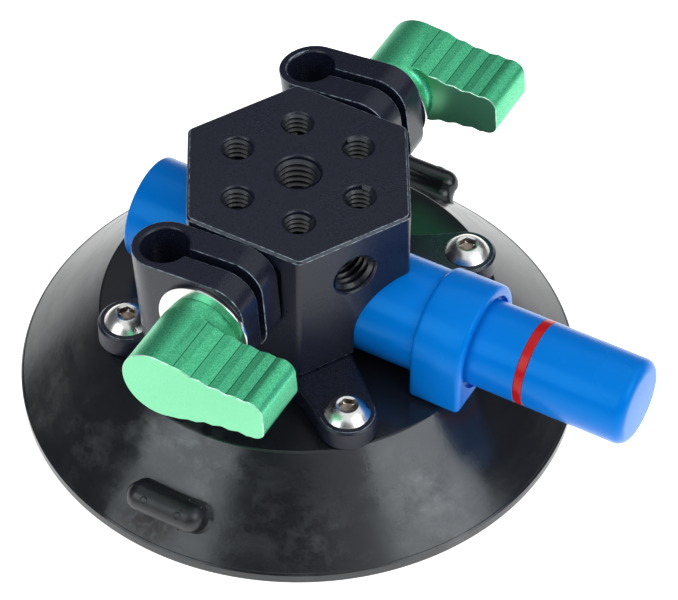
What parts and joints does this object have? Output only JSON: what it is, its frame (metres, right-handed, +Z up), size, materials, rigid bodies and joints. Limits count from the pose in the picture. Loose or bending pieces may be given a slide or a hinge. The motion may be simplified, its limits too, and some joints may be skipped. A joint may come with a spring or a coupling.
{
  "type": "pump-action suction mount",
  "caption": "Suction cup with a hand pump, a hexagonal block of threaded holes on four arms, and two lever-locked rod clamps.",
  "frame": {"origin": "centre of the suction cup's rim, on the plane that it seals against", "axes": "+Z up out of the surface, +X along the pump towards its plunger, +Y towards the rear rod clamp"},
  "size_m": [0.1398, 0.12, 0.06],
  "materials": {
    "cup_rubber": "matt black moulded rubber with a faint bloom",
    "seal_rubber": "matt black",
    "plate_steel": "zinc-plated sheet",
    "felt": "pressed felt",
    "black_anodised": "bead-blasted, black anodised",
    "steel": "plain turned steel",
    "stainless": "polished stainless steel",
    "blue_plastic": "glossy moulded blue",
    "red_plastic": "glossy red",
    "green_anodised": "satin, green anodised",
    "friction_pad": "matt dark grey"
  },
  "bodies": {
    "base": {"suction_cup": "cup_rubber", "backing_plate": "plate_steel", "cup_liner": "cup_rubber", "air_filter": "felt", "check_valve": "seal_rubber", "port_seal": "seal_rubber", "front_arm_plate": "black_anodised", "rear_arm_plate": "black_anodised", "mounting_block": "black_anodised", "block_screws": "steel", "corner_screws": "stainless", "pump_barrel": "blue_plastic", "pump_collar": "blue_plastic", "return_spring": "steel", "front_pad": "friction_pad", "rear_pad": "friction_pad"},
    "pump_plunger": {"plunger": "blue_plastic", "indicator_ring": "red_plastic", "piston_seal": "seal_rubber"},
    "front_rod_clamp": {"front_clamp": "black_anodised"},
    "rear_rod_clamp": {"rear_clamp": "black_anodised"},
    "front_stack": {"front_washer": "stainless"},
    "rear_stack": {"rear_washer": "stainless"},
    "front_lever": {"front_knob": "green_anodised", "front_stud": "steel"},
    "rear_lever": {"rear_knob": "green_anodised", "rear_stud": "steel"}
  },
  "joints": [
    {"name": "pump_stroke", "type": "slide", "parent": "base", "child": "pump_plunger", "axis": [1, 0, 0], "range_m": [-0.03, 0], "stiffness_N_per_m": 600, "springref_m": 0.015, "deforming": ["return_spring"]},
    {"name": "front_clamp_swivel", "type": "hinge", "parent": "base", "child": "front_rod_clamp", "pos_m": [-0.0004, -0.0305, 0.0482], "axis": [0, -1, 0], "continuous": true},
    {"name": "front_washer_travel", "type": "slide", "parent": "base", "child": "front_stack", "axis": [0, -1, 0], "range_m": [0, 0.00125]},
    {"name": "front_lever_turn", "type": "hinge", "parent": "front_stack", "child": "front_lever", "pos_m": [-0.0004, -0.0495, 0.0482], "axis": [0, -1, 0], "range_deg": [0, 360]},
    {"name": "rear_clamp_swivel", "type": "hinge", "parent": "base", "child": "rear_rod_clamp", "pos_m": [-0.0004, 0.0305, 0.0482], "axis": [0, 1, 0], "continuous": true},
    {"name": "rear_washer_travel", "type": "slide", "parent": "base", "child": "rear_stack", "axis": [0, 1, 0], "range_m": [0, 0.00125]},
    {"name": "rear_lever_turn", "type": "hinge", "parent": "rear_stack", "child": "rear_lever", "pos_m": [-0.0004, 0.0495, 0.0482], "axis": [0, 1, 0], "range_deg": [0, 360]}
  ],
  "couplings": [
    {"joint": "front_lever_turn", "follows": "front_washer_travel", "rad_per_m": 5026.5},
    {"joint": "rear_lever_turn", "follows": "rear_washer_travel", "rad_per_m": 5026.5}
  ]
}
